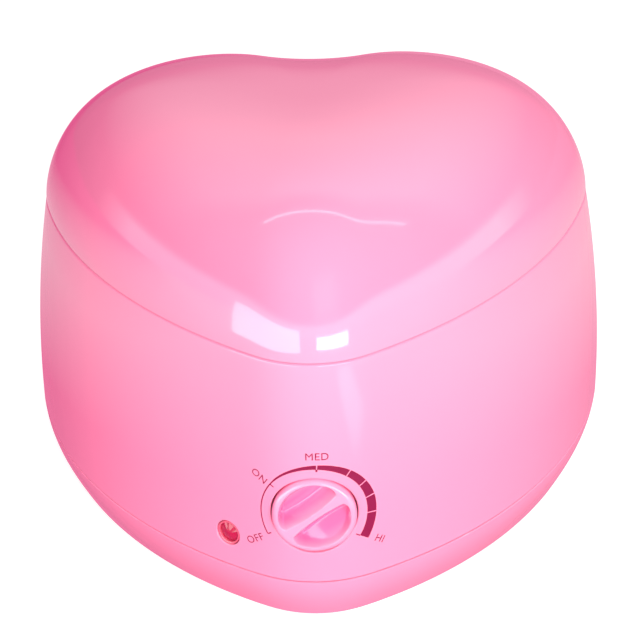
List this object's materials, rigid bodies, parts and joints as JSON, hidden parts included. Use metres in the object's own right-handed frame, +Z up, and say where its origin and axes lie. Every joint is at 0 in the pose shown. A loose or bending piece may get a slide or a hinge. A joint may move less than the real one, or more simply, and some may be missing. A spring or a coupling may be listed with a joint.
{
  "type": "wax warmer pot",
  "caption": "Heart-shaped electric wax warmer with a domed lift-off lid, a removable bucket in a heated well and a rotary heat dial with an indicator lamp.",
  "frame": {"origin": "middle of the footprint, on the plane that the feet stand on", "axes": "+Z up, -Y out of the front with the dial, +X to the right as seen from the front"},
  "size_m": [0.1998, 0.1688, 0.1422],
  "materials": {
    "shell_pink": "glossy moulded ABS, pink",
    "knob_pink": "glossy moulded ABS, pink",
    "lens_red": "translucent red acrylic",
    "bulb_glass": "clear glass neon lamp",
    "spun_aluminium": "spun aluminium, satin",
    "steel_wire": "bright nickel-plated steel",
    "screw_steel": "zinc-plated steel",
    "foot_rubber": "dark grey rubber",
    "silicone": "white silicone rubber",
    "mica_band": "plated sheet over mica",
    "glass_fibre": "woven glass-fibre sleeve",
    "ceramic_body": "glazed steatite",
    "brass_bright": "bright brass",
    "white_plastic": "matt nylon",
    "black_plastic": "matt black nylon",
    "lead_red": "silicone insulated lead",
    "lead_white": "silicone insulated lead",
    "lead_pink": "silicone insulated lead",
    "lead_green": "silicone insulated lead"
  },
  "bodies": {
    "body": {"housing": "shell_pink", "deck": "shell_pink", "base_tray": "shell_pink", "rubber_feet": "foot_rubber", "base_screws": "screw_steel", "heating_well": "spun_aluminium", "well_gasket": "silicone", "well_screws": "screw_steel", "heater_band": "mica_band", "band_clamp_screw": "screw_steel", "insulation_sleeve": "glass_fibre", "thermal_cutout": "ceramic_body", "cutout_nuts": "screw_steel", "earth_tag": "brass_bright", "thermostat_plate": "screw_steel", "thermostat_body": "ceramic_body", "thermostat_screws": "screw_steel", "lamp_lens": "lens_red", "lamp_holder": "white_plastic", "neon_bulb": "bulb_glass", "terminal_block": "white_plastic", "terminal_screws": "brass_bright", "cord_gland": "black_plastic", "gland_ring": "screw_steel", "mains_leads": "lead_red", "heater_leads": "lead_white", "lamp_leads": "lead_pink", "earth_lead": "lead_green"},
    "pot": {"wax_pot": "spun_aluminium", "pot_ears": "spun_aluminium", "pot_rivets": "spun_aluminium"},
    "bail": {"bail_handle": "steel_wire"},
    "lid": {"lid": "shell_pink"},
    "knob": {"knob": "knob_pink", "thermostat_spindle": "brass_bright"}
  },
  "joints": [
    {"name": "pot_lift", "type": "slide", "parent": "body", "child": "pot", "axis": [0, 0, 1], "range_m": [0, 0.085]},
    {"name": "bail_swing", "type": "hinge", "parent": "pot", "child": "bail", "pos_m": [0, 0.003, 0.08845], "axis": [1, 0, 0], "range_deg": [0, 180]},
    {"name": "lid_lift", "type": "slide", "parent": "pot", "child": "lid", "axis": [0, 0, 1], "range_m": [0, 0.06]},
    {"name": "knob_turn", "type": "hinge", "parent": "body", "child": "knob", "pos_m": [0, -0.08345, 0.041], "axis": [0, 0.9986, -0.0523], "range_deg": [0, 248]}
  ]
}
